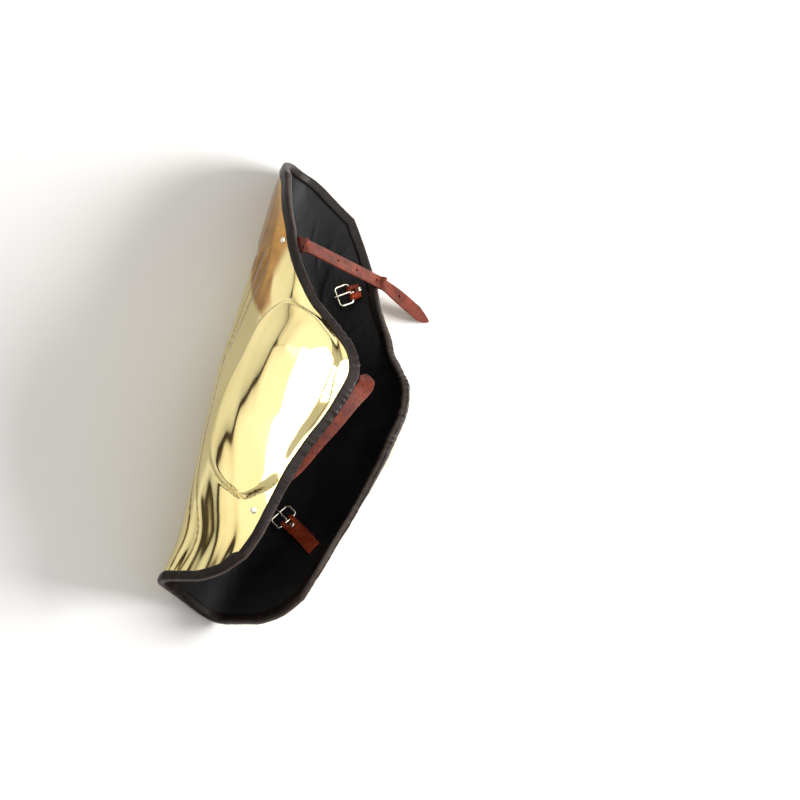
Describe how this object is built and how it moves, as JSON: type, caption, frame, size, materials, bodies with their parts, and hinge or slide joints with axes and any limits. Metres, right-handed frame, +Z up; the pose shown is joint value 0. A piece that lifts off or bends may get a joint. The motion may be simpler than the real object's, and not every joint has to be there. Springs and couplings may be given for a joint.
{
  "type": "greave",
  "caption": "Polished brass greave with a raised kneecap, shin ridge and calf muscle, a leather lining and bound edge, and leather straps with buckles",
  "frame": {"origin": "under the middle of the greave as it lies, at the surface that it rests on", "axes": "+Z up; +Y along the leg towards the knee end; the greave lies on its flank with the open side turned up towards -X"},
  "size_m": [0.1742, 0.417, 0.1734],
  "materials": {
    "polished_brass": "polished",
    "lining_leather": "smooth black leather",
    "binding_leather": "creased dark leather",
    "strap_leather": "red-brown leather",
    "bright_metal": "bright wire and rivets"
  },
  "bodies": {
    "greave": {"shell": "polished_brass", "lining": "lining_leather", "edge_binding": "binding_leather", "upper_strap": "strap_leather", "lower_strap": "strap_leather", "upper_tab": "strap_leather", "lower_tab": "strap_leather", "upper_buckle": "bright_metal", "lower_buckle": "bright_metal", "upper_strap_rivet": "bright_metal", "lower_strap_rivet": "bright_metal", "upper_tab_rivet": "bright_metal", "lower_tab_rivet": "bright_metal"},
    "upper_tongue": {"upper_buckle_tongue": "bright_metal"},
    "lower_tongue": {"lower_buckle_tongue": "bright_metal"}
  },
  "joints": [
    {"name": "upper_tongue_hinge", "type": "hinge", "parent": "greave", "child": "upper_tongue", "pos_m": [0.01049, 0.11127, 0.03055], "axis": [-0.4413, 0.8229, -0.3579], "range_deg": [0, 110]},
    {"name": "lower_tongue_hinge", "type": "hinge", "parent": "greave", "child": "lower_tongue", "pos_m": [0.01329, -0.10447, 0.0261], "axis": [0.4962, 0.8224, 0.2784], "range_deg": [0, 110]}
  ]
}
